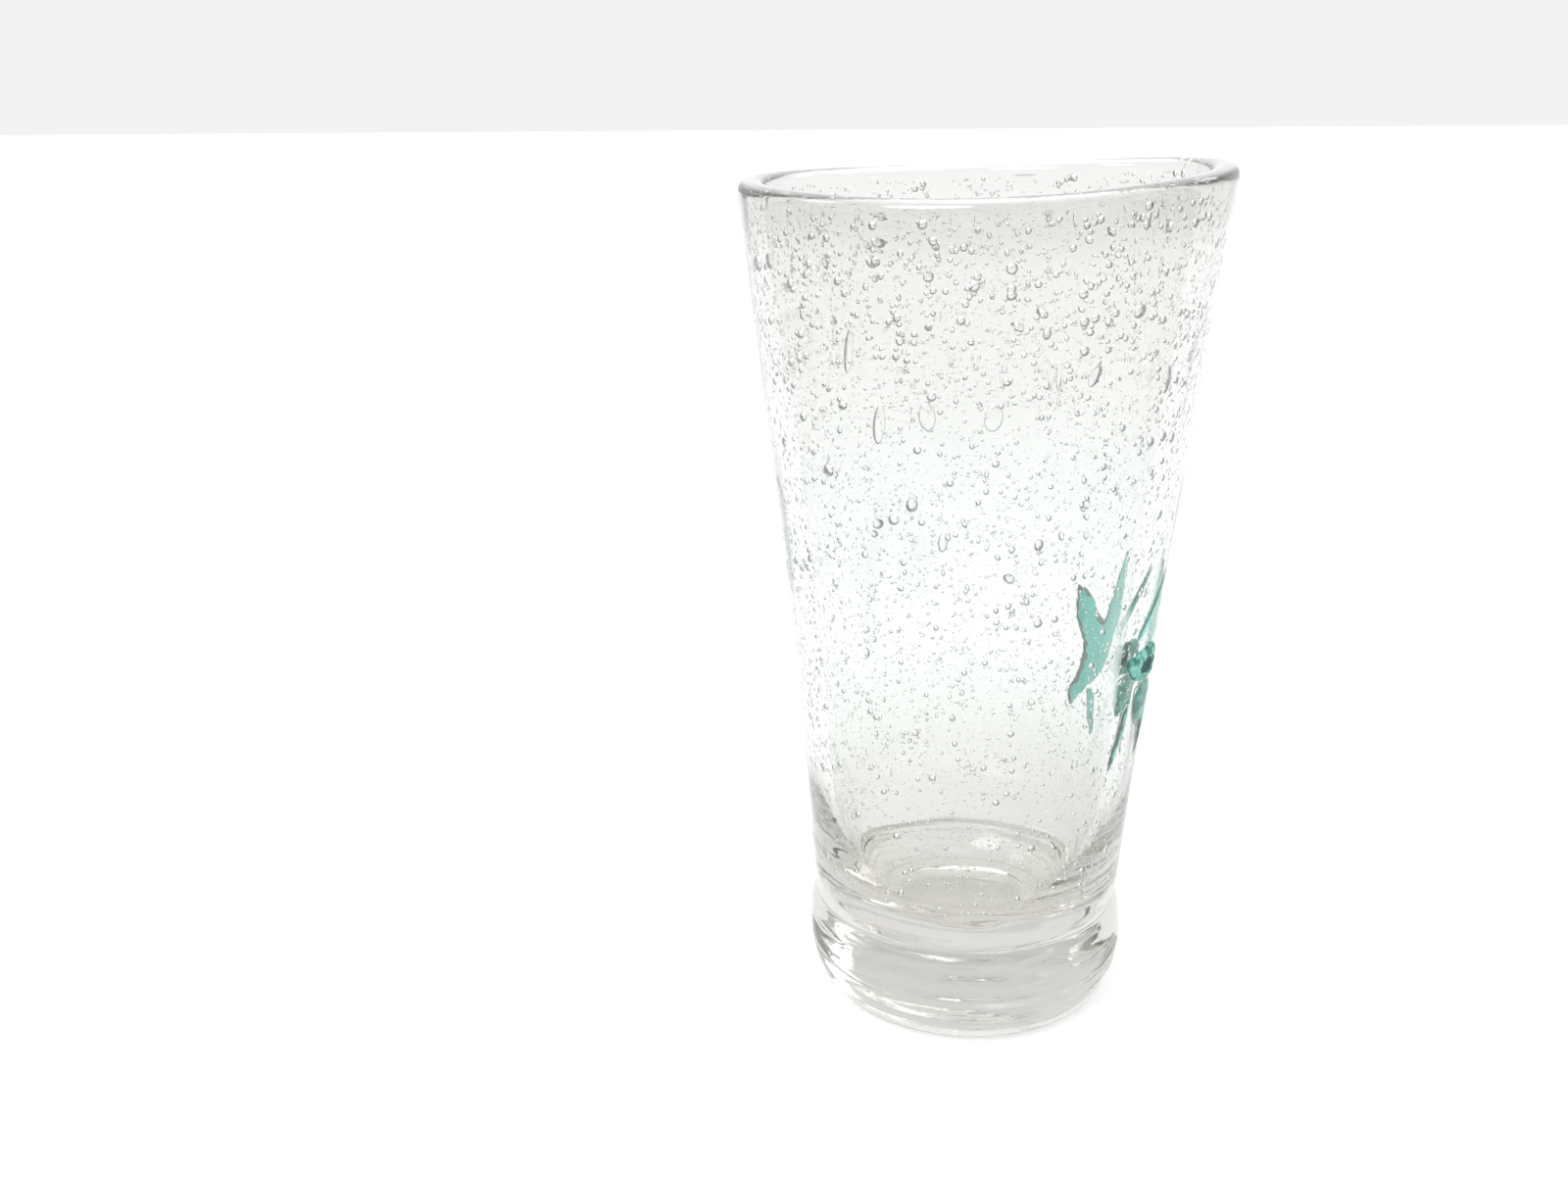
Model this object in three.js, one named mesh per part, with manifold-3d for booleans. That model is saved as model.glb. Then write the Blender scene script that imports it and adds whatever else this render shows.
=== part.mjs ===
// A hand-made drinking tumbler: a seeded glass vessel fused into a thick clear foot,
// with a turquoise glass decoration applied to the outside of its wall.
// Millimetres, +Z up, origin at the centre of the face that it stands on.
import * as THREE from "three";
import { mergeVertices } from "three/addons/utils/BufferGeometryUtils.js";
import Module from "manifold-3d";

// Driving dimensions, in millimetres and degrees.
const rimHeight = 160;
const rimRadius = 44.3;
const neckHeight = 19.3;
const neckRadius = 30.2;
const wallHollow = 0.6; // how far the outline is drawn in half-way up
const wallThickness = 5.3;
const rimTilt = 0.029; // rise of the lip for each millimetre along +X
const rimSaddle = 1.8; // how much the lip's two sides on the X axis rise above its front and back
const rimTiltStart = 90; // height at which the lip's unevenness begins
const lipRise = 2.4;
const lipSquareness = 2.3; // exponent of the lip's section, where 2 is an ellipse

const floorHeight = 15;
const floorRadius = 12.5;
const bowlTop = 46; // height at which the bowl of the floor meets the wall
const bowlUpperPull = { radius: 25.8, height: 31 }; // control points of the bowl's curve
const bowlLowerPull = { radius: 20.5, height: floorHeight };

const footBulgeRadius = 31.8;
const footBulgeHeight = 10.5;
const footBaseRadius = 29.7;
const footEdge = 3; // rounding between the base and the side
const kickRadius = 20; // shallow hollow under the foot
const kickDepth = 1.2;
const socketDepth = 8; // the foot's top is hollowed to take the vessel's round bottom
const seam = 0.3; // gap between two fused pieces

// Segment counts.
const turns = 60;
const wallSteps = 7;
const curveSteps = 5;
const bowlSteps = 8;
const lipSteps = 8;

const wasm = await Module();
wasm.setup();

const seededGlass = new THREE.MeshStandardMaterial({ color: 0xedf1f0, roughness: 0.06, metalness: 0 });
const clearGlass = new THREE.MeshStandardMaterial({ color: 0xd9dcda, roughness: 0.03, metalness: 0 });
const turquoiseGlass = new THREE.MeshStandardMaterial({ color: 0x6fc7b6, roughness: 0.18, metalness: 0 });
const deepGreenGlass = new THREE.MeshStandardMaterial({ color: 0x2f8f80, roughness: 0.3, metalness: 0 });

// Outside radius of the vessel's wall at a height above the neck.
function outerRadius(height) {
  const t = (height - neckHeight) / (rimHeight - neckHeight);
  return THREE.MathUtils.lerp(neckRadius, rimRadius, t) - 4 * wallHollow * t * (1 - t);
}

// The lip of a hand-finished glass isn't level: it rises towards +X, and less so towards -X.
function tiltedHeight(x, height) {
  const rise = rimTilt * x + rimSaddle * (x / rimRadius) ** 2;
  return height + rise * THREE.MathUtils.smoothstep(height, rimTiltStart, rimHeight);
}

function revolve(profile) {
  return new THREE.LatheGeometry(profile, turns).rotateX(Math.PI / 2);
}

// The joint between vessel and foot: a shallow bowl, lowered by `drop` for the foot's side.
function jointCurve(drop) {
  const top = neckHeight + seam / 2 - drop;
  const bottom = neckHeight - socketDepth - drop;
  return new THREE.QuadraticBezierCurve(
    new THREE.Vector2(0, bottom),
    new THREE.Vector2(neckRadius * 0.8, bottom),
    new THREE.Vector2(neckRadius, top),
  ).getPoints(curveSteps);
}

function vesselProfile() {
  const profile = jointCurve(0);
  const lipHeight = rimHeight - lipRise;
  for (let step = 1; step <= wallSteps; step++) {
    const height = THREE.MathUtils.lerp(neckHeight, lipHeight, step / wallSteps);
    profile.push(new THREE.Vector2(outerRadius(height), height));
  }
  const halfWall = wallThickness / 2;
  const lipCentre = outerRadius(lipHeight) - halfWall;
  for (let step = 1; step < lipSteps; step++) {
    const angle = (Math.PI * step) / lipSteps;
    const across = Math.sign(Math.cos(angle)) * Math.abs(Math.cos(angle)) ** (2 / lipSquareness);
    const up = Math.sin(angle) ** (2 / lipSquareness);
    profile.push(new THREE.Vector2(lipCentre + halfWall * across, lipHeight + lipRise * up));
  }
  for (let step = wallSteps; step >= 1; step--) {
    const height = THREE.MathUtils.lerp(bowlTop, lipHeight, step / wallSteps);
    profile.push(new THREE.Vector2(outerRadius(height) - wallThickness, height));
  }
  const bowl = new THREE.CubicBezierCurve(
    new THREE.Vector2(outerRadius(bowlTop) - wallThickness, bowlTop),
    new THREE.Vector2(bowlUpperPull.radius, bowlUpperPull.height),
    new THREE.Vector2(bowlLowerPull.radius, bowlLowerPull.height),
    new THREE.Vector2(floorRadius, floorHeight),
  );
  profile.push(...bowl.getPoints(bowlSteps), new THREE.Vector2(0, floorHeight));
  return profile;
}

function seededBody() {
  const geometry = revolve(vesselProfile());
  const position = geometry.getAttribute("position");
  for (let i = 0; i < position.count; i++) {
    position.setZ(i, tiltedHeight(position.getX(i), position.getZ(i)));
  }
  return geometry;
}

function clearFoot() {
  const kick = new THREE.QuadraticBezierCurve(
    new THREE.Vector2(0, kickDepth),
    new THREE.Vector2(kickRadius * 0.7, kickDepth),
    new THREE.Vector2(kickRadius, 0),
  );
  const edge = new THREE.QuadraticBezierCurve(
    new THREE.Vector2(footBaseRadius - footEdge, 0),
    new THREE.Vector2(footBaseRadius, 0),
    new THREE.Vector2(footBaseRadius + 0.25, footEdge),
  );
  const side = new THREE.SplineCurve([
    new THREE.Vector2(footBaseRadius + 0.25, footEdge),
    new THREE.Vector2(footBulgeRadius, footBulgeHeight),
    new THREE.Vector2(neckRadius, neckHeight - seam / 2),
  ]);
  const profile = [...kick.getPoints(curveSteps), ...edge.getPoints(curveSteps)];
  profile.push(...side.getPoints(curveSteps + 2).slice(1));
  profile.push(...jointCurve(seam).reverse().slice(1));
  return revolve(profile);
}

// A point on the wall, given by its bearing from +X in degrees and its height, and how far it stands out.
function wallPoint(bearing, height, outward) {
  const angle = THREE.MathUtils.degToRad(bearing);
  const radius = outerRadius(height) + outward;
  const x = radius * Math.cos(angle);
  return new THREE.Vector3(x, radius * Math.sin(angle), tiltedHeight(x, height));
}

// A domed pad of glass on the wall. Its outline is a closed curve through [bearing, height] points, taken
// clockwise with the bearing to the right. A unit sphere with its pole pointing outward is stretched to fill
// it, and the side on the wall is flat.
function wallPad(centre, outline, thickness, around = 28, rings = 12) {
  const edge = new THREE.CatmullRomCurve3(
    outline.map(([bearing, height]) => new THREE.Vector3(bearing, height, 0)),
    true,
  );
  const geometry = new THREE.SphereGeometry(1, around, rings);
  const position = geometry.getAttribute("position");
  for (let i = 0; i < position.count; i++) {
    const spread = Math.min(1, Math.hypot(position.getX(i), position.getZ(i)));
    const lap = Math.atan2(position.getZ(i), position.getX(i)) / (2 * Math.PI);
    const rim = edge.getPoint((lap + 1) % 1);
    const bearing = THREE.MathUtils.lerp(centre[0], rim.x, spread);
    const height = THREE.MathUtils.lerp(centre[1], rim.y, spread);
    const outward = seam + thickness * Math.max(0, position.getY(i));
    position.setXYZ(i, ...wallPoint(bearing, height, outward).toArray());
  }
  return geometry;
}

// Outline of a straight tapering streak from root to tip, each [bearing, height], widths in millimetres.
function streakOutline(root, tip, rootWidth, tipWidth) {
  const scale = new THREE.Vector2((Math.PI / 180) * outerRadius((root[1] + tip[1]) / 2), 1);
  const start = new THREE.Vector2(...root).multiply(scale);
  const end = new THREE.Vector2(...tip).multiply(scale);
  const along = end.clone().sub(start).normalize();
  const across = new THREE.Vector2(-along.y, along.x);
  const corner = (share, side) => {
    const half = (side * THREE.MathUtils.lerp(rootWidth, tipWidth, share)) / 2;
    return start.clone().lerp(end, share).addScaledVector(across, half).divide(scale).toArray();
  };
  return [
    root,
    corner(0.15, 1),
    corner(0.5, 1),
    corner(0.85, 1),
    tip,
    corner(0.85, -1),
    corner(0.5, -1),
    corner(0.15, -1),
  ];
}

function midpoint(a, b) {
  return [(a[0] + b[0]) / 2, (a[1] + b[1]) / 2];
}

function streak(root, tip, rootWidth, tipWidth, thickness) {
  return wallPad(midpoint(root, tip), streakOutline(root, tip, rootWidth, tipWidth), thickness, 24, 8);
}

function solid(geometry) {
  const bare = geometry.clone();
  bare.deleteAttribute("normal");
  bare.deleteAttribute("uv");
  const merged = mergeVertices(bare, 1e-3);
  return new wasm.Manifold(
    new wasm.Mesh({
      numProp: 3,
      vertProperties: merged.getAttribute("position").array,
      triVerts: new Uint32Array(merged.index.array),
    }),
  );
}

function geometryOf(body) {
  const mesh = body.getMesh();
  const geometry = new THREE.BufferGeometry();
  geometry.setAttribute("position", new THREE.BufferAttribute(mesh.vertProperties, 3));
  geometry.setIndex(new THREE.BufferAttribute(mesh.triVerts, 1));
  geometry.computeVertexNormals();
  return geometry;
}

// A flat four-armed star on the back of the right-hand side.
const starCentre = [26, 68];
const starOutline = [
  [12, 70],
  [7, 74],
  [5, 81],
  [9, 90],
  [20, 81],
  [26.5, 72],
  [38, 73.3],
  [44, 76.6],
  [48, 77.2],
  [46, 70.5],
  [37.5, 64.5],
  [37.5, 59],
  [44, 53],
  [40, 50.5],
  [27, 59],
  [19, 64],
];
const starThickness = 1.2;

// The boss: a lumpy round pad with a pit at its middle.
const bossCentre = [-22, 73.6];
const bossOutline = [
  [-15.5, 72.6],
  [-18, 70.8],
  [-25, 70.6],
  [-31.5, 71.8],
  [-35, 74.6],
  [-32, 76.8],
  [-25, 77.2],
  [-16.5, 76.4],
];
const bossThickness = 1.2;
const pitRadius = 1.4;
const pitDepth = 1.3;

function boss() {
  const pad = solid(wallPad(bossCentre, bossOutline, bossThickness));
  const pit = new THREE.SphereGeometry(1, 16, 12).scale(pitDepth, pitRadius, pitRadius);
  const angle = THREE.MathUtils.degToRad(bossCentre[0]);
  pit.rotateZ(angle);
  pit.translate(...wallPoint(...bossCentre, bossThickness + seam).toArray());
  return geometryOf(pad.subtract(solid(pit)));
}

// The lobe under the boss, drawn out into a thin tail.
const lobeCentre = [-21.5, 66];
const lobeOutline = [
  [-15, 65.5],
  [-16.5, 62],
  [-18, 53],
  [-20.3, 61],
  [-24, 61.8],
  [-27.5, 65],
  [-28, 69],
  [-22, 69.7],
  [-16, 69.6],
];
const lobeThickness = 0.9;

const pieces = [
  ["seeded_body", seededBody(), seededGlass],
  ["clear_foot", clearFoot(), clearGlass],
  ["star_pad", wallPad(starCentre, starOutline, starThickness, 44, 10), turquoiseGlass],
  ["star_trail", streak([29, 57], [25, 46.5], 1.8, 1.0, 0.8), turquoiseGlass],
  ["boss_pad", boss(), deepGreenGlass],
  ["upper_frond", streak([-33, 79], [-15, 91.5], 1.5, 0.8, 0.5), turquoiseGlass],
  ["lower_lobe", wallPad(lobeCentre, lobeOutline, lobeThickness), turquoiseGlass],
  ["tail_streak", streak([-32, 67.5], [-39, 54], 1.5, 0.8, 0.6), turquoiseGlass],
];

const tumbler = new THREE.Group();
for (const [name, geometry, material] of pieces) {
  const mesh = new THREE.Mesh(geometry, material);
  mesh.name = name;
  tumbler.add(mesh);
}

export default tumbler;
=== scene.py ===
import math

import bmesh
import bpy
import numpy as np
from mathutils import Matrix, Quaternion, Vector, noise
from mathutils.bvhtree import BVHTree


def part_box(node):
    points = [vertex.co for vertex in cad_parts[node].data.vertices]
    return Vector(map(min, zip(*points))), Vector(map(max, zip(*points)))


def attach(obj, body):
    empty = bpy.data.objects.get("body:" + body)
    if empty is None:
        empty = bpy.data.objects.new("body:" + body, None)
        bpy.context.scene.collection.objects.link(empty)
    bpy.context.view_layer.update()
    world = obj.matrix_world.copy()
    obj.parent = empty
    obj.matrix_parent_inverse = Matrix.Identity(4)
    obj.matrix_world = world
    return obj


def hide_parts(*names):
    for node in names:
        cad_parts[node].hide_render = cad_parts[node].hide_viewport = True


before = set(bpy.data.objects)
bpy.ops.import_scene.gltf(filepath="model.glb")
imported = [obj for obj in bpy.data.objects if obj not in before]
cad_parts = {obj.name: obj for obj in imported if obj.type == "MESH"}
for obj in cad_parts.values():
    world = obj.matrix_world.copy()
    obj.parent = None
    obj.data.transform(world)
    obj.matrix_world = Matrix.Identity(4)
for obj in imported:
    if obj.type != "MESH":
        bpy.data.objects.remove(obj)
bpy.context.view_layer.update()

MM = 0.001
RANDOM = np.random.default_rng(7)

# ---------------------------------------------------------------- the vessel's dimensions
BODY_LOW, BODY_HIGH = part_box("seeded_body")
FOOT_LOW, FOOT_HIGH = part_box("clear_foot")
SEAM_MM = 0.3  # the gap between neighbouring solids of the CAD model
WALL_MM = 5.3
WALL_HOLLOW_MM = 0.6

LIP_TURN_MM = 0.3  # how much of the wall's flare is lost where the lip rounds over
LIP_RISE_MM = 2.4
LIP_SQUARENESS = 2.3
RIM_RADIUS_MM = (BODY_HIGH.x - BODY_LOW.x) / 2 / MM + LIP_TURN_MM
RIM_TILT = 0.029
RIM_SADDLE_MM = 1.8
TILT_START_MM = 90
LIP_CREST_MM = RIM_RADIUS_MM - WALL_MM / 2
CREST_LIFT_MM = RIM_TILT * LIP_CREST_MM + RIM_SADDLE_MM * (LIP_CREST_MM / RIM_RADIUS_MM) ** 2
RIM_HEIGHT_MM = BODY_HIGH.z / MM - CREST_LIFT_MM
LIP_HEIGHT_MM = RIM_HEIGHT_MM - LIP_RISE_MM

NECK_RADIUS_MM = 30.2
NECK_HEIGHT_MM = FOOT_HIGH.z / MM + SEAM_MM / 2
FLOOR_HEIGHT_MM = 15
FLOOR_RADIUS_MM = 12.5
BOWL_TOP_MM = 46
BOWL_PULL_MM = ((25.8, 31), (20.5, FLOOR_HEIGHT_MM))

BULGE_RADIUS_MM = (FOOT_HIGH.x - FOOT_LOW.x) / 2 / MM
BULGE_HEIGHT_MM = 10.5
BULGE_SWELL_MM = 0.1
BULGE_PULLS = (0.72, 1.45)  # heights that pull its two curves out, as shares of its own height
BASE_RADIUS_MM = 29.7
BASE_EDGE_MM = 3
BASE_FLARE_MM = 0.25
KICK_RADIUS_MM = 20
KICK_DEPTH_MM = 1.2
KICK_PULL = 0.7

DECOR_HEIGHTS_MM = (43, 94)
DECOR_BEARINGS = (-45, 52)

# Mesh rows on each stretch of the outline. Columns are for the decorated arc, and again for the rest.
ROWS = {
    "kick": 14,
    "edge": 10,
    "below_bulge": 12,
    "above_bulge": 14,
    "below_decor": 22,
    "decor": 110,
    "above_decor": 40,
    "lip": 18,
    "inner_wall": 50,
    "bowl": 32,
    "floor": 10,
}
COLUMNS = 150


# ---------------------------------------------------------------- curves
def smoothstep(value, low, high):
    t = np.clip((value - low) / (high - low), 0, 1)
    return t * t * (3 - 2 * t)


def bezier(start, corner, end, count):
    t = np.linspace(0, 1, count)[:, None]
    return (1 - t) ** 2 * np.array(start) + 2 * t * (1 - t) * np.array(corner) + t**2 * np.array(end)


def cubic_bezier(start, first_pull, last_pull, end, count):
    t = np.linspace(0, 1, count)[:, None]
    inner = 3 * t * (1 - t) * ((1 - t) * np.array(first_pull) + t * np.array(last_pull))
    return (1 - t) ** 3 * np.array(start) + inner + t**3 * np.array(end)


def rounded(share):
    """A sine or cosine squared up, so that the lip's round is fuller than a half circle."""
    return np.sign(share) * np.abs(share) ** (2 / LIP_SQUARENESS)


def outer_radius(height):
    """The wall's outside: a slightly hollow flare from the neck to the rim."""
    t = (height - NECK_HEIGHT_MM) / (RIM_HEIGHT_MM - NECK_HEIGHT_MM)
    return NECK_RADIUS_MM + (RIM_RADIUS_MM - NECK_RADIUS_MM) * t - 4 * WALL_HOLLOW_MM * t * (1 - t)


def tilted(x, height):
    """A height with the rim's tilt and saddle, which fade out down the wall."""
    rise = RIM_TILT * x + RIM_SADDLE_MM * (x / RIM_RADIUS_MM) ** 2
    return height + rise * smoothstep(height, TILT_START_MM, RIM_HEIGHT_MM)


# ---------------------------------------------------------------- the vessel's outline
def outside_profile():
    """The outline from the axis under the foot to the start of the lip, as (radius, height) rows."""
    kick_pull = (KICK_RADIUS_MM * KICK_PULL, KICK_DEPTH_MM)
    kick = bezier((0, KICK_DEPTH_MM), kick_pull, (KICK_RADIUS_MM, 0), ROWS["kick"])
    side_start = (BASE_RADIUS_MM + BASE_FLARE_MM, BASE_EDGE_MM)
    edge = bezier((BASE_RADIUS_MM - BASE_EDGE_MM, 0), (BASE_RADIUS_MM, 0), side_start, ROWS["edge"])
    bulge = (BULGE_RADIUS_MM, BULGE_HEIGHT_MM)
    low_pull = (BULGE_RADIUS_MM + BULGE_SWELL_MM, BULGE_HEIGHT_MM * BULGE_PULLS[0])
    high_pull = (BULGE_RADIUS_MM, BULGE_HEIGHT_MM * BULGE_PULLS[1])
    below_bulge = bezier(side_start, low_pull, bulge, ROWS["below_bulge"])
    above_bulge = bezier(bulge, high_pull, (NECK_RADIUS_MM, NECK_HEIGHT_MM), ROWS["above_bulge"])
    stretches = [
        np.linspace(NECK_HEIGHT_MM, DECOR_HEIGHTS_MM[0], ROWS["below_decor"]),
        np.linspace(*DECOR_HEIGHTS_MM, ROWS["decor"])[1:],
        np.linspace(DECOR_HEIGHTS_MM[1], LIP_HEIGHT_MM, ROWS["above_decor"])[1:],
    ]
    heights = np.concatenate(stretches)
    wall = np.stack([outer_radius(heights), heights], axis=1)
    return np.concatenate([kick, edge, below_bulge[1:], above_bulge[1:], wall[1:]])


def inside_profile():
    """The outline over the lip and down the inside to the middle of the floor."""
    turn = np.linspace(0, math.pi, ROWS["lip"])[1:]
    half = WALL_MM / 2
    across = outer_radius(LIP_HEIGHT_MM) - half + half * rounded(np.cos(turn))
    lip = np.stack([across, LIP_HEIGHT_MM + LIP_RISE_MM * rounded(np.sin(turn))], axis=1)
    heights = np.linspace(LIP_HEIGHT_MM, BOWL_TOP_MM, ROWS["inner_wall"])[1:]
    wall = np.stack([outer_radius(heights) - WALL_MM, heights], axis=1)
    floor_edge = (FLOOR_RADIUS_MM, FLOOR_HEIGHT_MM)
    bowl = cubic_bezier(wall[-1], *BOWL_PULL_MM, floor_edge, ROWS["bowl"])
    across_floor = np.linspace(FLOOR_RADIUS_MM, 0, ROWS["floor"])
    floor = np.stack([across_floor, np.full(ROWS["floor"], FLOOR_HEIGHT_MM)], axis=1)
    return np.concatenate([lip, wall, bowl[1:], floor[1:]])


# ---------------------------------------------------------------- traces of hand work
# Waves in the glass: a noise offset, then reach across, reach along the axis and amount in millimetres.
# They fade in from the middle of the inside and from the resting face, and the foot's own end at the neck.
INSIDE_WAVES = ((31.7, 16, 32, 0.3), (55.1, 6, 26, 0.05))
OUTSIDE_WAVES = ((3.3, 20, 34, 0.3), (17.9, 7, 24, 0.05))
FOOT_RIPPLES = ((71.3, 22, 2.4, 0.22), (83.9, 9, 1.3, 0.06))
CALM_FLOOR_MM = 12
CALM_BASE_MM = (0.2, 2.5)
RIPPLES_END_MM = (NECK_HEIGHT_MM - 1, NECK_HEIGHT_MM + 3)

# The lap, where the lower gather ends on the wall: a low step with a bead along its edge.
LAP_HEIGHT_MM = 28
LAP_LEAN_MM = 4
LAP_WANDER_MM = 0.5
LAP_STEP_MM = 0.2
LAP_START_MM = (21, 25)
LAP_FADE_MM = (-1, 0.6)
LAP_BEAD_MM = 0.14
LAP_BEAD_DROP_MM = 0.8
LAP_BEAD_WIDTH_MM = 0.7

# Two creases pressed round the foot, each a groove. The one at the neck has a ridge under it.
NECK_CREASE_MM = 0.45
NECK_CREASE_LIFT_MM = 0.3
NECK_CREASE_LEAN_MM = 1.1
NECK_CREASE_SADDLE_MM = 0.7
CREASE_WIDTH_MM = 0.9
RIDGE_MM = 0.2
RIDGE_DROP_MM = 2.6
RIDGE_WIDTH_MM = 1
LOW_CREASE_MM = 0.3
LOW_CREASE_HEIGHT_MM = 8.3
LOW_CREASE_WANDER_MM = 0.5
LOW_CREASE_PHASE = 2
LOW_CREASE_RADII_MM = (28, 30)


def waves(point, layers):
    """Smooth random thickness at a point of the glass."""
    x, y, z = point
    total = 0
    for offset, across_mm, along_mm, amount_mm in layers:
        total += amount_mm * noise.noise(Vector((x / across_mm, y / across_mm, z / along_mm + offset)))
    return total


def band(height, centre, width):
    return np.exp(-(((height - centre) / width) ** 2))


def lap(bearing, height):
    """How far the lower gather stands out of the wall."""
    edge = LAP_HEIGHT_MM - LAP_LEAN_MM * math.cos(bearing) + LAP_WANDER_MM * math.sin(3 * bearing)
    step = LAP_STEP_MM * (1 - smoothstep(height, edge + LAP_FADE_MM[0], edge + LAP_FADE_MM[1]))
    bead = LAP_BEAD_MM * band(height, edge - LAP_BEAD_DROP_MM, LAP_BEAD_WIDTH_MM)
    return step * smoothstep(height, *LAP_START_MM) + bead


def creases(bearing, radius, height):
    """How far the tool marks round the foot press the glass in, as a negative distance, or raise it."""
    lean = NECK_CREASE_LEAN_MM * math.cos(bearing) - NECK_CREASE_SADDLE_MM * math.cos(2 * bearing)
    neck = NECK_HEIGHT_MM + NECK_CREASE_LIFT_MM + lean
    low = LOW_CREASE_HEIGHT_MM + LOW_CREASE_WANDER_MM * math.sin(bearing + LOW_CREASE_PHASE)
    ridge = RIDGE_MM * band(height, neck - RIDGE_DROP_MM, RIDGE_WIDTH_MM)
    neck_groove = NECK_CREASE_MM * band(height, neck, CREASE_WIDTH_MM)
    low_groove = LOW_CREASE_MM * band(height, low, CREASE_WIDTH_MM) * smoothstep(radius, *LOW_CREASE_RADII_MM)
    return ridge - neck_groove - low_groove


def hand_made(side, bearing, radius, height):
    """How far the glass stands off its ideal outline."""
    point = (radius * math.cos(bearing), radius * math.sin(bearing), height)
    if side == "inside":
        return min(1, radius / CALM_FLOOR_MM) * waves(point, INSIDE_WAVES)
    in_foot = 1 - smoothstep(height, *RIPPLES_END_MM)
    offset = waves(point, OUTSIDE_WAVES) + in_foot * waves(point, FOOT_RIPPLES)
    offset += lap(bearing, height) + creases(bearing, radius, height)
    return offset * smoothstep(height, *CALM_BASE_MM)


# ---------------------------------------------------------------- meshes
def new_object(name, mesh):
    piece = bpy.data.objects.new(name, mesh)
    bpy.context.scene.collection.objects.link(piece)
    return piece


def smooth_piece(name, vertices, faces):
    mesh = bpy.data.meshes.new(name)
    mesh.from_pydata(vertices, [], faces)
    mesh.shade_smooth()
    mesh.validate()
    return new_object(name, mesh)


def lattice_faces(rows, columns, first, last):
    """Quads of a grid that closes round the axis, with one vertex at each end."""
    faces = []
    for row in range(rows - 1):
        for column in range(columns):
            beside = (column + 1) % columns
            a, b = row * columns, (row + 1) * columns
            faces.append((a + column, a + beside, b + beside, b + column))
    for column in range(columns):
        beside = (column + 1) % columns
        faces.append((first, beside, column))
        faces.append(((rows - 1) * columns + column, (rows - 1) * columns + beside, last))
    return faces


# ---------------------------------------------------------------- the vessel, with the pads of the decoration
PAD_NODES = ("star_pad", "star_trail", "upper_frond", "lower_lobe", "tail_streak")
PAD_RAY_START_MM = 12
PAD_RAY_LENGTH_MM = 20
PAD_BLUR_PASSES = 3


def node_tree(name):
    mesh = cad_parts[name].data
    corners = [v.co.copy() for v in mesh.vertices]
    return BVHTree.FromPolygons(corners, [tuple(p.vertices) for p in mesh.polygons])


def inward_from(bearing):
    return Vector((-math.cos(bearing), -math.sin(bearing), 0))


def pad_heights(bearings, heights):
    """How far the CAD's pads stand out of the wall on a grid of bearings and heights, in millimetres."""
    trees = [node_tree(name) for name in PAD_NODES]
    grid = np.zeros((len(heights), len(bearings)))
    for row, height in enumerate(heights):
        wall = outer_radius(height)
        for column, bearing in enumerate(bearings):
            inward = inward_from(bearing)
            start = -inward * (wall + PAD_RAY_START_MM) * MM
            start.z = tilted(wall * math.cos(bearing), height) * MM
            for tree in trees:
                hit, _, _, distance = tree.ray_cast(start, inward, PAD_RAY_LENGTH_MM * MM)
                if hit is not None:
                    stand = PAD_RAY_START_MM - distance / MM - SEAM_MM
                    grid[row, column] = max(grid[row, column], stand)
    return grid


def blurred(grid, passes):
    for _ in range(passes):
        padded = np.pad(grid, 1, mode="edge")
        beside = padded[1:-1, :-2] + padded[1:-1, 2:]
        above_and_below = padded[:-2, 1:-1] + padded[2:, 1:-1]
        grid = (4 * grid + above_and_below + beside) / 8
    return grid


def make_vessel():
    low, high = np.radians(DECOR_BEARINGS)
    decorated = np.linspace(low, high, COLUMNS, endpoint=False)
    plain = np.linspace(high, low + 2 * math.pi, COLUMNS, endpoint=False)
    bearings = np.concatenate([decorated, plain])
    outside, inside = outside_profile(), inside_profile()
    radii, heights = outside[:, 0], outside[:, 1]
    in_decor = (heights >= DECOR_HEIGHTS_MM[0]) & (heights <= DECOR_HEIGHTS_MM[1]) & (radii > NECK_RADIUS_MM)
    raised = np.zeros((len(outside), len(bearings)))
    stands = blurred(pad_heights(decorated, heights[in_decor]), PAD_BLUR_PASSES)
    raised[np.ix_(in_decor, np.arange(len(decorated)))] = stands
    profile = np.concatenate([outside, inside])
    vertices = []
    for row, (radius, height) in enumerate(profile[1:-1], start=1):
        side = "outside" if row < len(outside) else "inside"
        for column, bearing in enumerate(bearings):
            r = radius + hand_made(side, bearing, radius, height)
            if side == "outside":
                r += raised[row, column]
            x = r * math.cos(bearing)
            vertices.append((x * MM, r * math.sin(bearing) * MM, tilted(x, height) * MM))
    rows, columns = len(profile) - 2, len(bearings)
    vertices += [(0, 0, profile[0, 1] * MM), (0, 0, profile[-1, 1] * MM)]
    faces = lattice_faces(rows, columns, len(vertices) - 2, len(vertices) - 1)
    return smooth_piece("glass_vessel", vertices, faces)


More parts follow.
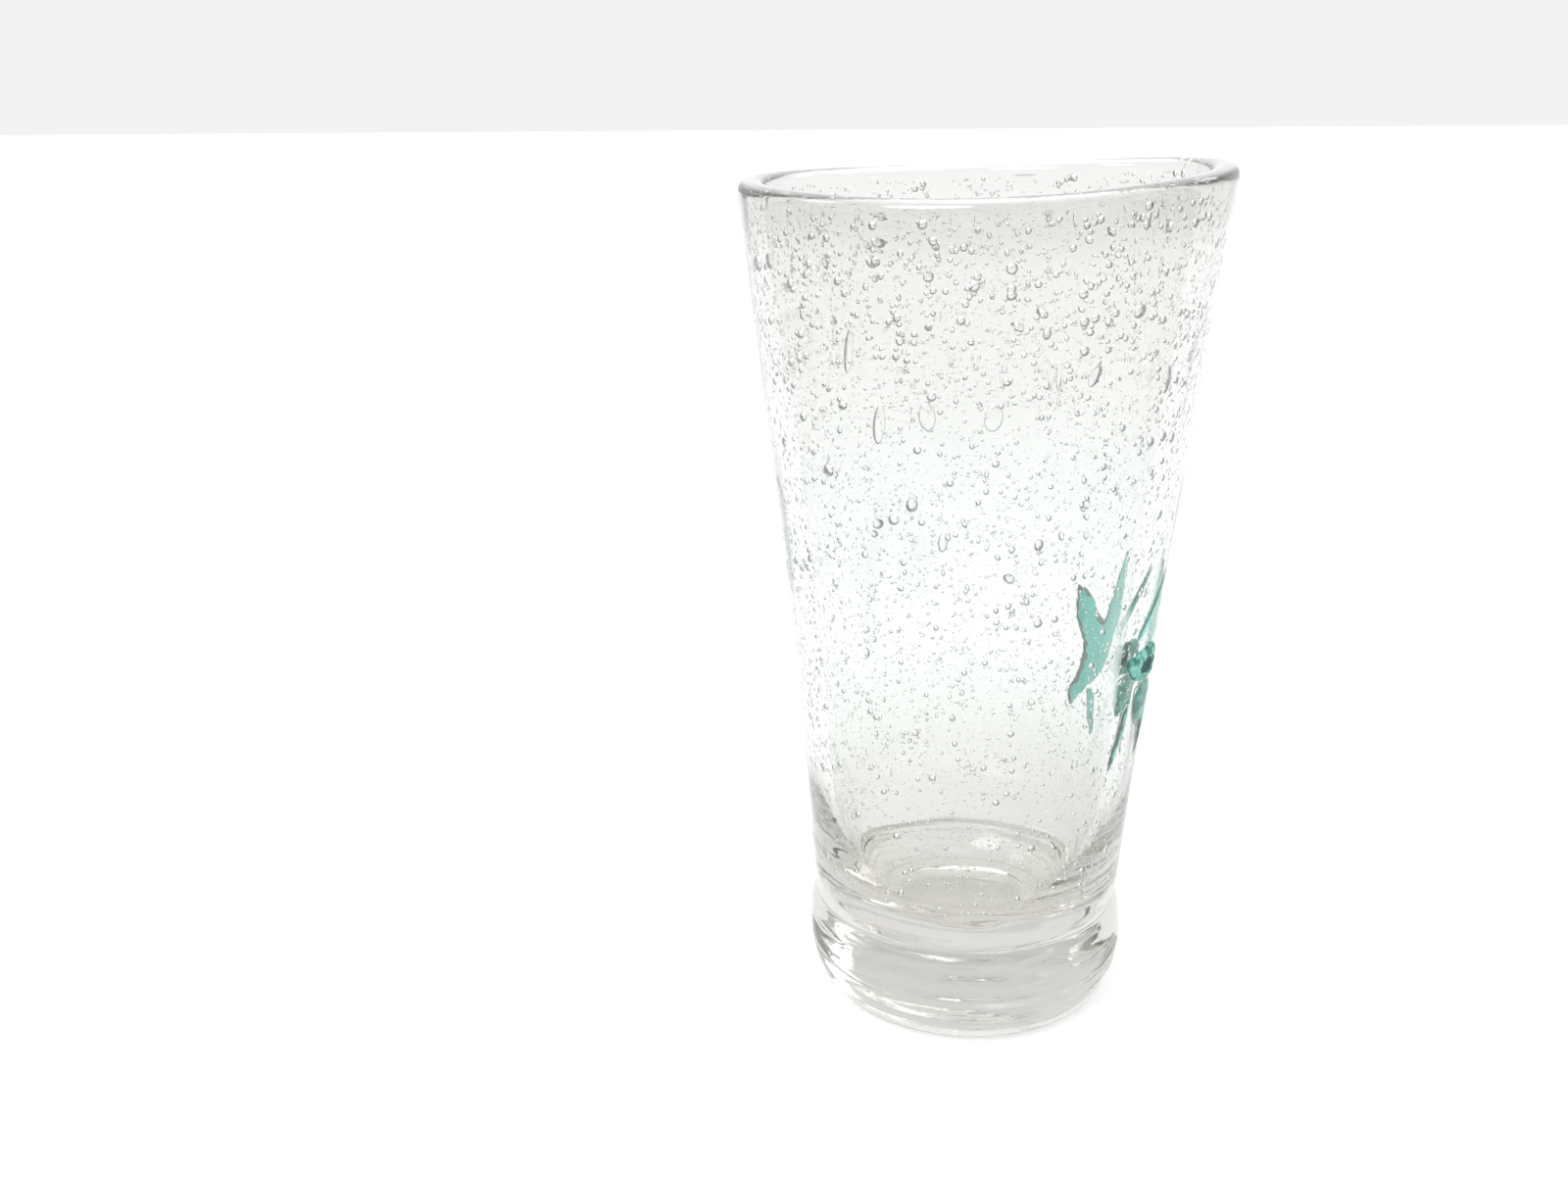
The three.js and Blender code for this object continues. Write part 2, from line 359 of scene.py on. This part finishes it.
# ---------------------------------------------------------------- bubbles
# Name, count, length in millimetres, spread of the length's logarithm, subdivisions of each ball.
BUBBLE_GROUPS = (
    ("bubbles_large", 90, 1.8, 0.22, 3),
    ("bubbles_medium", 1250, 1.0, 0.24, 2),
    ("bubbles_small", 2350, 0.66, 0.2, 2),
    ("bubbles_fine", 9000, 0.36, 0.25, 1),
)
BUBBLE_HEIGHTS_MM = (27, 157)
UPPER_HEIGHTS_MM = (124, 157)
UPPER_SHARE = 0.08  # share of the bubbles that is kept for the upper heights
GROWTH = (0.9, 0.35)  # factor on the size low on the wall, and what is added to it high up
GROWTH_HEIGHTS_MM = (95, 150)
THICK_SHARES = (0.6, 0.95)
WIDE_SHARES = (0.7, 1.0)
SLANT, SLANT_SPREAD = 0.25, 0.25
UPPER_SLANT = 0.5
UPPER_SLANT_FROM_MM = 125
BUBBLE_COVER_MM = 0.45  # glass left between a bubble and the surface
LIP_COVER = 1.2  # more cover for each millimetre that a bubble reaches into the lip's round

# Large flat bubbles: bearing in degrees, height, half width and half length in millimetres, slant in radians.
FLAT_BUBBLES = (
    (-122, 135, 0.9, 3.8, 0.12),
    (-114.5, 123, 1.1, 3.4, 0.1),
    (-102, 125, 1.4, 2.4, -0.1),
    (-86, 125, 1.5, 2.3, 0.15),
    (-98, 103, 0.8, 1.8, 0.1),
    (-62, 131, 1.0, 2.0, 0.3),
    (-38, 128, 1.1, 2.4, 0.1),
    (64, 118, 1.3, 3.2, 0.2),
    (150, 129, 1.1, 2.9, -0.15),
)
FLAT_HALF_THICK_MM = 0.45
FLAT_DEPTH_MM = 0.6
FLAT_DETAIL = 4


def unit_ball(subdivisions):
    ball = bmesh.new()
    bmesh.ops.create_icosphere(ball, subdivisions=subdivisions, radius=1)
    vertices = np.array([v.co[:] for v in ball.verts])
    faces = np.array([[v.index for v in f.verts] for f in ball.faces])
    ball.free()
    return vertices, faces


def in_wall(ball, bearing, height, depth_mm, half_sizes_mm, slant):
    """A unit ball's vertices as a bubble: half sizes run outward, across and along a slanted long axis."""
    thick, wide, long = half_sizes_mm
    out = np.array([math.cos(bearing), math.sin(bearing), 0])
    across = np.array([-math.sin(bearing), math.cos(bearing), 0])
    up = np.array([0, 0, 1.0])
    long_axis = math.cos(slant) * up + math.sin(slant) * across
    wide_axis = math.cos(slant) * across - math.sin(slant) * up
    radius = outer_radius(height) - WALL_MM / 2 + depth_mm
    centre = out * radius + up * tilted(radius * math.cos(bearing), height)
    return (centre + ball @ np.stack([out * thick, wide_axis * wide, long_axis * long])) * MM


def random_bubble(size_mm, spread):
    """A bubble's bearing, height, depth, half sizes and slant, flattened against the wall's surface."""
    heights = UPPER_HEIGHTS_MM if RANDOM.random() < UPPER_SHARE else BUBBLE_HEIGHTS_MM
    height = RANDOM.uniform(*heights)
    bearing = RANDOM.uniform(-math.pi, math.pi)
    grown = GROWTH[0] + GROWTH[1] * float(smoothstep(height, *GROWTH_HEIGHTS_MM))
    long_mm = size_mm / 2 * grown * math.exp(RANDOM.normal(0, spread))
    thick_mm = long_mm * RANDOM.uniform(*THICK_SHARES)
    wide_mm = long_mm * RANDOM.uniform(*WIDE_SHARES)
    slant = RANDOM.normal(SLANT, SLANT_SPREAD) + UPPER_SLANT * (height > UPPER_SLANT_FROM_MM)
    in_lip = max(0, height + long_mm - LIP_HEIGHT_MM)
    room = max(0, WALL_MM / 2 - thick_mm - BUBBLE_COVER_MM - LIP_COVER * in_lip)
    return bearing, height, RANDOM.uniform(-room, room), (thick_mm, wide_mm, long_mm), slant


def joined_bubbles(name, detail, placings):
    ball, faces = unit_ball(detail)
    vertices = [in_wall(ball, *placing) for placing in placings]
    all_faces = [faces + index * len(ball) for index in range(len(placings))]
    return smooth_piece(name, np.concatenate(vertices).tolist(), np.concatenate(all_faces).tolist())


def make_bubbles(name, count, size_mm, spread, detail):
    return joined_bubbles(name, detail, [random_bubble(size_mm, spread) for _ in range(count)])


def make_flat_bubbles(name):
    placings = []
    for bearing, height, wide_mm, long_mm, slant in FLAT_BUBBLES:
        half_sizes = (FLAT_HALF_THICK_MM, wide_mm, long_mm)
        placings.append((math.radians(bearing), height, FLAT_DEPTH_MM, half_sizes, slant))
    return joined_bubbles(name, FLAT_DETAIL, placings)


# ---------------------------------------------------------------- coloured cores
BACK_STAND_MM = 0.12  # a pad's vertices nearer to the wall than this are its back
BACK_SINK_MM = 0.5
TOP_SINK = 0.4  # how far a pad's top sinks first, as a share of the core's shrinking
WELD_MM = 0.01
SMOOTH_PASSES = 6
LUMP_SCALES = (900, 300)
WIDE_LUMPS = 1.5

EDGE_RAY_RADIUS_MM = 60
EDGE_RAY_LENGTH_MM = 35
EDGE_RAGGED = (0.75, 0.7, 500)  # least share of the width, noise amount, noise scale
EDGE_UPPER = (0.7, 0.6)  # a second look at the edge: this far to the side and this far up, as shares

# Where the boss's pit is painted dark as shade, and its size.
PIT_BEARING = math.radians(-26.5)
PIT_HEIGHT_MM = 74.2
PIT_STRETCH = 1.4
PIT_WOBBLE = (0.3, 900)  # millimetres and noise scale
PIT_SOLID = 0.75


def edge_shade(node, width_mm):
    """A measure of place for painted shade: 1 along the pad's top and the edge away from +X, where its glass
    is painted grey as shade.
    """
    pad = node_tree(node)
    side = 1 if sum(v.co.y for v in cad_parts[node].data.vertices) > 0 else -1
    least, amount, scale = EDGE_RAGGED
    aside, above = EDGE_UPPER

    def shade(where):
        bearing = math.atan2(where.y, where.x)
        ragged = width_mm * (least + amount * noise.noise(where * scale)) * MM
        beside = side * ragged / math.hypot(where.x, where.y)
        for turn, lift in ((beside, 0), (beside * aside, ragged * above)):
            inward = inward_from(bearing + turn)
            start = -inward * EDGE_RAY_RADIUS_MM * MM
            start.z = where.z + lift
            if pad.ray_cast(start, inward, EDGE_RAY_LENGTH_MM * MM)[0] is None:
                return 1
        return 0

    return shade


def pit_shade(width_mm):
    """A measure of place for painted shade: 1 in the middle of the boss's pit, where it is painted dark,
    fading to 0 at its edge.
    """
    wall = outer_radius(PIT_HEIGHT_MM)
    amount, scale = PIT_WOBBLE

    def shade(where):
        across = (math.atan2(where.y, where.x) - PIT_BEARING) * wall / PIT_STRETCH
        offset = math.hypot(across, where.z / MM - PIT_HEIGHT_MM) + amount * noise.noise(where * scale)
        return 1 - smoothstep(offset, width_mm * PIT_SOLID, width_mm)

    return shade


def remeshed(piece, voxel_mm):
    weld = piece.modifiers.new("weld", "WELD")
    weld.merge_threshold = WELD_MM * MM
    remesh = piece.modifiers.new("remesh", "REMESH")
    remesh.mode = "VOXEL"
    remesh.voxel_size = voxel_mm * MM
    smooth = piece.modifiers.new("smooth", "SMOOTH")
    smooth.iterations = SMOOTH_PASSES
    bpy.context.view_layer.update()
    evaluated = piece.evaluated_get(bpy.context.evaluated_depsgraph_get())
    mesh = bpy.data.meshes.new_from_object(evaluated)
    piece.modifiers.clear()
    return mesh


def make_core(name, node, shade, shrink_mm, voxel_mm, lump_mm):
    """The coloured glass of a pad: the CAD's solid, sunk into the wall, drawn in and made lumpy."""
    piece = new_object(name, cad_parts[node].data.copy())
    for vertex in piece.data.vertices:
        x, y, z = vertex.co / MM
        distance = math.hypot(x, y)
        at_top = distance - outer_radius(z) - SEAM_MM > BACK_STAND_MM
        push = -SEAM_MM - (shrink_mm * TOP_SINK if at_top else BACK_SINK_MM)
        vertex.co.x += push * x / distance * MM
        vertex.co.y += push * y / distance * MM
    piece.data.materials.clear()
    piece.data = mesh = remeshed(piece, voxel_mm)
    normals = [v.normal.copy() for v in mesh.vertices]
    # Painted shade: how far each vertex is painted grey or dark, kept as the shade attribute.
    shades = mesh.attributes.new("shade", "FLOAT", "POINT")
    for vertex, normal in zip(mesh.vertices, normals):
        shades.data[vertex.index].value = float(shade(vertex.co))
        small, wide = (noise.noise(vertex.co * scale) * lump_mm for scale in LUMP_SCALES)
        vertex.co += normal * (small + wide * WIDE_LUMPS - shrink_mm) * MM
    mesh.shade_smooth()
    return piece


# ---------------------------------------------------------------- shader helpers
def node_material(name):
    material = bpy.data.materials.new(name)
    material.use_nodes = True
    nodes = material.node_tree.nodes
    nodes.clear()
    return material, nodes, material.node_tree.links


def add_node(nodes, kind, settings=None, **inputs):
    """A new shader node: properties come from `settings`, inputs by name with _ for a space."""
    node = nodes.new("ShaderNode" + kind)
    for key, value in (settings or {}).items():
        setattr(node, key, value)
    for key, value in inputs.items():
        node.inputs[key.replace("_", " ")].default_value = value
    return node


def smooth_range(nodes, links, value, source, target):
    """Eases from one end of `target` to the other as `value` crosses `source`. An end may be a socket."""
    low, high = source
    ramp = add_node(nodes, "MapRange", {"interpolation_type": "SMOOTHSTEP"}, From_Min=low, From_Max=high)
    links.new(value, ramp.inputs["Value"])
    for name, end in zip(("To Min", "To Max"), target):
        if isinstance(end, bpy.types.NodeSocket):
            links.new(end, ramp.inputs[name])
        else:
            ramp.inputs[name].default_value = end
    return ramp.outputs["Result"]


def facing(nodes, links, normal, direction):
    """The cosine between `normal` and a fixed direction."""
    dot = add_node(nodes, "VectorMath", {"operation": "DOT_PRODUCT"})
    dot.inputs[1].default_value = Vector(direction).normalized()
    links.new(normal, dot.inputs[0])
    return dot.outputs["Value"]


def bump_layer(nodes, links, where, stretch, scale, distance_mm, mask=None, under=None):
    """A noise bump drawn out by `stretch`, limited to where `mask` is high, over an earlier bump."""
    drawn = add_node(nodes, "VectorMath", {"operation": "MULTIPLY"})
    drawn.inputs[1].default_value = stretch
    grain = add_node(nodes, "TexNoise", Scale=scale, Detail=GRAIN_DETAIL)
    bump = add_node(nodes, "Bump", Distance=distance_mm * MM)
    links.new(where, drawn.inputs[0])
    links.new(drawn.outputs["Vector"], grain.inputs["Vector"])
    links.new(grain.outputs["Fac"], bump.inputs["Height"])
    if mask is not None:
        links.new(mask, bump.inputs["Strength"])
    if under is not None:
        links.new(under, bump.inputs["Normal"])
    return bump.outputs["Normal"]


def height_ramp(nodes, links, where, stops):
    """A ramp over the height above the table: stops are (height in millimetres, colour)."""
    split = add_node(nodes, "SeparateXYZ")
    share = add_node(nodes, "MapRange", From_Max=RIM_HEIGHT_MM * MM)
    ramp = add_node(nodes, "ValToRGB")
    links.new(where, split.inputs["Vector"])
    links.new(split.outputs["Z"], share.inputs["Value"])
    links.new(share.outputs["Result"], ramp.inputs["Fac"])
    elements = ramp.color_ramp.elements
    elements.remove(elements[1])
    for index, (height, colour) in enumerate(stops):
        stop = elements[0] if index == 0 else elements.new(height / RIM_HEIGHT_MM)
        stop.position = height / RIM_HEIGHT_MM
        stop.color = (*colour, 1)
    return ramp.outputs["Color"]


def painted_highlight(nodes, links, glass, direction, edge, strength, colour=None):
    """Paints a highlight onto `glass` as emission where its outer side faces `direction`: a painted
    highlight, not a lamp.
    """
    place = add_node(nodes, "TexCoord")
    towards = facing(nodes, links, place.outputs["Normal"], direction)
    side = add_node(nodes, "NewGeometry")
    outer = add_node(nodes, "MapRange", To_Min=strength, To_Max=0)
    spot = add_node(nodes, "Math", {"operation": "MULTIPLY"})
    emission = add_node(nodes, "Emission")
    total = add_node(nodes, "AddShader")
    links.new(side.outputs["Backfacing"], outer.inputs["Value"])
    links.new(smooth_range(nodes, links, towards, edge, (0, 1)), spot.inputs[0])
    links.new(outer.outputs["Result"], spot.inputs[1])
    links.new(spot.outputs["Value"], emission.inputs["Strength"])
    if colour is not None:
        links.new(colour, emission.inputs["Color"])
    links.new(glass.outputs["BSDF"], total.inputs[0])
    links.new(emission.outputs["Emission"], total.inputs[1])
    return total.outputs["Shader"]


# ---------------------------------------------------------------- glass
BLACK, WHITE = (0, 0, 0), (1, 1, 1)
GLASS_IOR = 1.5
HAZE_COLOUR = (0.5, 0.53, 0.51, 1)
HAZE_DENSITY = 6
# Glass colour by height: partly the glass's faint green tint, partly painted shade that darkens the foot and
# the wall near the rim.
VESSEL_TINT_AND_SHADE = (
    (0, (0.965, 0.96, 0.945)),
    (12, (0.947, 0.941, 0.927)),
    (26, (0.922, 0.917, 0.904)),
    (40, (0.91, 0.91, 0.898)),
    (48, (0.936, 0.942, 0.934)),
    (62, (0.963, 0.972, 0.966)),
    (89, (0.958, 0.966, 0.961)),
    (103, (0.95, 0.956, 0.951)),
    (135, (0.938, 0.94, 0.934)),
    (149, (0.931, 0.932, 0.926)),
    (155, (0.88, 0.88, 0.873)),
)

# Bump layers: stretch, noise scale, depth in millimetres.
GRAIN_DETAIL = 2
SKIN_BUMP = ((1, 1, 0.5), 400, 0.008)
STRETCH_BUMP = ((1, 1, 0.1), 450, 0.08)
FOOT_BUMP = ((0.12, 0.12, 1), 700, 0.1)
VOID_BUMP = ((1, 1, 1), 900, 0.01)
STRETCH_MARKS = ((112, BLACK), (124, WHITE), (134, WHITE), (142, BLACK))
FOOT_ONLY = ((18, WHITE), (25, BLACK))
# Heights over which the lip's painted highlight fades in.
LIP_HIGHLIGHT_HEIGHTS = ((140, BLACK), (150, WHITE))

# Painted highlights, drawn as emission: direction faced, cosines where it starts and is full, strength.
LIP_PAINTED_HIGHLIGHT = ((0, 0, 1), (0.6, 0.95), 0.3)
BUBBLE_PAINTED_HIGHLIGHT = ((-0.3, -0.72, 0.62), (0.86, 0.95), 0.55)
VOID_CONTRAST = 1.41  # a little under the glass's own, so that bubbles don't show as dark rings

CLOUD_DETAIL = 5
CLOUD_RANGE = (0.35, 0.6)
# Painted glow: the coloured glass gives off a faint light of its own colour, though it is no lamp.
CORE_PAINTED_GLOW = 0.12
CORE_THROUGH = 0.5
# Painted shade: grey along a pad's top and its edge away from +X.
PAINTED_EDGE_SHADE_GREY = (0.36, 0.36, 0.33)
# Painted shade: dark green in the middle of the boss's pit.
PIT_PAINTED_SHADE = (0.008, 0.12, 0.1)


def vessel_material(name):
    """Clear glass coloured by height, partly its own faint tint and partly painted shade, with drawn-out
    marks high on the wall, ripples low and a painted highlight on the lip.
    """
    material, nodes, links = node_material(name)
    output = add_node(nodes, "OutputMaterial")
    glass = add_node(nodes, "BsdfGlass", IOR=GLASS_IOR, Roughness=0)
    haze = add_node(nodes, "VolumeAbsorption", Color=HAZE_COLOUR, Density=HAZE_DENSITY)
    where = add_node(nodes, "TexCoord").outputs["Object"]
    # Glass colour by height, with painted shade in the foot and near the rim.
    links.new(height_ramp(nodes, links, where, VESSEL_TINT_AND_SHADE), glass.inputs["Color"])
    skin = bump_layer(nodes, links, where, *SKIN_BUMP)
    marks = height_ramp(nodes, links, where, STRETCH_MARKS)
    skin = bump_layer(nodes, links, where, *STRETCH_BUMP, marks, skin)
    foot = height_ramp(nodes, links, where, FOOT_ONLY)
    skin = bump_layer(nodes, links, where, *FOOT_BUMP, foot, skin)
    links.new(skin, glass.inputs["Normal"])
    # Painted highlight on the lip: emission where its outer side faces up.
    lip_highlight_share = height_ramp(nodes, links, where, LIP_HIGHLIGHT_HEIGHTS)
    links.new(painted_highlight(nodes, links, glass, *LIP_PAINTED_HIGHLIGHT, lip_highlight_share), output.inputs["Surface"])
    links.new(haze.outputs["Volume"], output.inputs["Volume"])
    return material


def void_material(name):
    """The surface of an air bubble, seen from inside the glass, with a painted highlight as emission where it
    faces the front left and up.
    """
    material, nodes, links = node_material(name)
    output = add_node(nodes, "OutputMaterial")
    glass = add_node(nodes, "BsdfGlass", IOR=1 / VOID_CONTRAST, Roughness=0)
    where = add_node(nodes, "TexCoord").outputs["Object"]
    links.new(bump_layer(nodes, links, where, *VOID_BUMP), glass.inputs["Normal"])
    # Painted highlight on each bubble: emission where its surface faces the front left and up.
    links.new(painted_highlight(nodes, links, glass, *BUBBLE_PAINTED_HIGHLIGHT), output.inputs["Surface"])
    return material


def coloured_material(name, light, dark, shaded, roughness, cloud_scale):
    """Cloudy coloured glass: light and dark clouds, turning to the painted shade colour `shaded` where the
    piece's painted shade measure says so, with a faint painted glow of its own colour.
    """
    material, nodes, links = node_material(name)
    output = add_node(nodes, "OutputMaterial")
    place = add_node(nodes, "TexCoord")
    cloud = add_node(nodes, "TexNoise", Scale=cloud_scale, Detail=CLOUD_DETAIL)
    spread = add_node(nodes, "MapRange", From_Min=CLOUD_RANGE[0], From_Max=CLOUD_RANGE[1])
    tone = add_node(nodes, "Mix", {"data_type": "RGBA"}, A=(*dark, 1), B=(*light, 1))
    shade = add_node(nodes, "Attribute", {"attribute_name": "shade"})
    colour = add_node(nodes, "Mix", {"data_type": "RGBA"}, B=(*shaded, 1))
    # Painted glow: emission in the glass's own colour.
    body = add_node(nodes, "BsdfPrincipled", Roughness=roughness, Emission_Strength=CORE_PAINTED_GLOW)
    through = add_node(nodes, "BsdfTranslucent")
    blend = add_node(nodes, "MixShader", Fac=CORE_THROUGH)
    links.new(place.outputs["Object"], cloud.inputs["Vector"])
    links.new(cloud.outputs["Fac"], spread.inputs["Value"])
    links.new(spread.outputs["Result"], tone.inputs["Factor"])
    links.new(shade.outputs["Fac"], colour.inputs["Factor"])
    links.new(tone.outputs["Result"], colour.inputs["A"])
    for socket in (body.inputs["Base Color"], body.inputs["Emission Color"], through.inputs["Color"]):
        links.new(colour.outputs["Result"], socket)
    links.new(body.outputs["BSDF"], blend.inputs[1])
    links.new(through.outputs["BSDF"], blend.inputs[2])
    links.new(blend.outputs["Shader"], output.inputs["Surface"])
    return material


# ---------------------------------------------------------------- the stage
FLOOR_SIZE = 4.0
FLOOR_COLOUR = (0.3, 0.3, 0.3, 1)
FLOOR_ROUGHNESS = 0.9
FLOOR_GLOW = 0.7

# The sky's strength before, behind and over the object, and the ranges of direction over which it changes.
SKY_FRONT_LOW, SKY_FRONT, SKY_BACK, SKY_TOP = 0.97, 0.65, 1.12, 0.75
FRONT_RISE = (0.15, 0.4)
BACK_RISE = (-0.6, 0.3)
TOP_RISE = (0.5, 0.8)

# Softboxes: direction towards each, cosines of its outer and inner edge, strength.
SOFTBOXES = (
    ((0.35, 0.15, 0.92), (0.82, 0.93), 2.2),
    ((-0.35, -0.5, 0.8), (0.955, 0.975), 11),
    ((0.6, 0.62, 0.5), (0.988, 0.996), 4),
    ((-0.72, 0.12, 0.68), (0.983, 0.992), 7),
)
GLASS_BOUNCES = 24
GLOSSY_BOUNCES = 8


def make_floor():
    corners = [(-FLOOR_SIZE, -FLOOR_SIZE, 0), (FLOOR_SIZE, -FLOOR_SIZE, 0)]
    corners += [(FLOOR_SIZE, FLOOR_SIZE, 0), (-FLOOR_SIZE, FLOOR_SIZE, 0)]
    mesh = bpy.data.meshes.new("floor")
    mesh.from_pydata(corners, [], [(0, 1, 2, 3)])
    floor = new_object("floor", mesh)
    material, nodes, links = node_material("pale_floor")
    output = add_node(nodes, "OutputMaterial")
    matt = add_node(nodes, "BsdfPrincipled", Base_Color=FLOOR_COLOUR, Roughness=FLOOR_ROUGHNESS)
    matt.inputs["Emission Color"].default_value = (1, 1, 1, 1)
    matt.inputs["Emission Strength"].default_value = FLOOR_GLOW
    links.new(matt.outputs["BSDF"], output.inputs["Surface"])
    mesh.materials.append(material)


def make_sky():
    """A soft white studio all round, brighter behind the object, with round softboxes above it."""
    world = bpy.data.worlds.new("studio")
    bpy.context.scene.world = world
    world.use_nodes = True
    nodes, links = world.node_tree.nodes, world.node_tree.links
    nodes.clear()
    output = add_node(nodes, "OutputWorld")
    background = add_node(nodes, "Background")
    where = add_node(nodes, "TexCoord").outputs["Generated"]
    split = add_node(nodes, "SeparateXYZ")
    links.new(where, split.inputs["Vector"])
    height, depth = split.outputs["Z"], split.outputs["Y"]
    front = smooth_range(nodes, links, height, FRONT_RISE, (SKY_FRONT_LOW, SKY_FRONT))
    around = smooth_range(nodes, links, depth, BACK_RISE, (front, SKY_BACK))
    total = smooth_range(nodes, links, height, TOP_RISE, (around, SKY_TOP))
    for direction, edge, strength in SOFTBOXES:
        towards = facing(nodes, links, where, direction)
        add = add_node(nodes, "Math", {"operation": "ADD"})
        links.new(total, add.inputs[0])
        links.new(smooth_range(nodes, links, towards, edge, (0, strength)), add.inputs[1])
        total = add.outputs["Value"]
    links.new(total, background.inputs["Strength"])
    links.new(background.outputs["Background"], output.inputs["Surface"])


def set_rendering():
    scene = bpy.context.scene
    scene.view_settings.view_transform = "Standard"
    scene.view_settings.exposure = 0.0
    scene.cycles.max_bounces = GLASS_BOUNCES
    scene.cycles.transmission_bounces = GLASS_BOUNCES
    scene.cycles.glossy_bounces = GLOSSY_BOUNCES


# ---------------------------------------------------------------- the camera
# It stands before the glass and looks a little down at it, with the glass right of the picture's middle.
CAMERA_DISTANCE = 0.29074
CAMERA_HEIGHT = 0.18058
CAMERA_PITCH = 0.326
CAMERA_YAW = 0.126
CAMERA_ROLL = -0.012
CAMERA_LENS_MM = 36
SENSOR_WIDTH_MM = 36
CLIP_START = 0.01


def make_camera():
    camera = bpy.data.cameras.new("camera")
    camera.lens = CAMERA_LENS_MM
    camera.sensor_width = SENSOR_WIDTH_MM
    camera.clip_start = CLIP_START
    holder = new_object("camera", camera)
    holder.location = (0, -CAMERA_DISTANCE, CAMERA_HEIGHT)
    level = math.cos(CAMERA_PITCH)
    forward = Vector((-math.sin(CAMERA_YAW) * level, math.cos(CAMERA_YAW) * level, -math.sin(CAMERA_PITCH)))
    holder.rotation_mode = "QUATERNION"
    holder.rotation_quaternion = forward.to_track_quat("-Z", "Y") @ Quaternion((0, 0, 1), CAMERA_ROLL)
    bpy.context.scene.camera = holder


# ---------------------------------------------------------------- assembly
make_camera()
make_floor()
make_sky()
set_rendering()

clear = vessel_material("clear_glass")
void = void_material("bubble_void")
# The third colour of each coloured glass is its painted shade.
turquoise = coloured_material("turquoise_glass", (0.47, 1.0, 0.94), (0.29, 0.92, 0.83), PAINTED_EDGE_SHADE_GREY, 0.2, 260)
mottled = coloured_material("mottled_turquoise", (0.38, 0.9, 0.8), (0.06, 0.36, 0.31), PAINTED_EDGE_SHADE_GREY, 0.2, 600)
deep_green = coloured_material("deep_green_glass", (0.42, 0.92, 0.82), (0.02, 0.22, 0.18), PIT_PAINTED_SHADE, 0.3, 700)

vessel = make_vessel()
vessel.data.materials.append(clear)
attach(vessel, "root")
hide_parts("seeded_body", "clear_foot")

all_bubbles = [make_bubbles(*group) for group in BUBBLE_GROUPS] + [make_flat_bubbles("bubbles_flat")]
for bubbles in all_bubbles:
    bubbles.data.materials.append(void)
    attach(bubbles, "root")

# Name, CAD node, material, slot, measure of painted shade, then shrinking, voxel and lump size in
# millimetres.
BLUE, GREEN = "turquoise_glass", "deep_green_glass"
CORES = (
    ("star_core", "star_pad", turquoise, BLUE, edge_shade("star_pad", 2.0), 0.2, 0.2, 0.1),
    ("trail_core", "star_trail", turquoise, BLUE, edge_shade("star_trail", 0.4), 0.08, 0.15, 0.08),
    ("boss_core", "boss_pad", deep_green, GREEN, pit_shade(1.75), 0.05, 0.15, 0.22),
    ("frond_core", "upper_frond", turquoise, BLUE, edge_shade("upper_frond", 0.15), 0.1, 0.12, 0.1),
    ("lobe_core", "lower_lobe", mottled, BLUE, edge_shade("lower_lobe", 0.4), 0.35, 0.15, 0.2),
    ("streak_core", "tail_streak", mottled, BLUE, edge_shade("tail_streak", 0.15), 0.15, 0.12, 0.12),
)
for name, node, material, slot, shade, *sizes_mm in CORES:
    core = make_core(name, node, shade, *sizes_mm)
    core.data.materials.append(material)
    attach(core, "root")
    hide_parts(node)
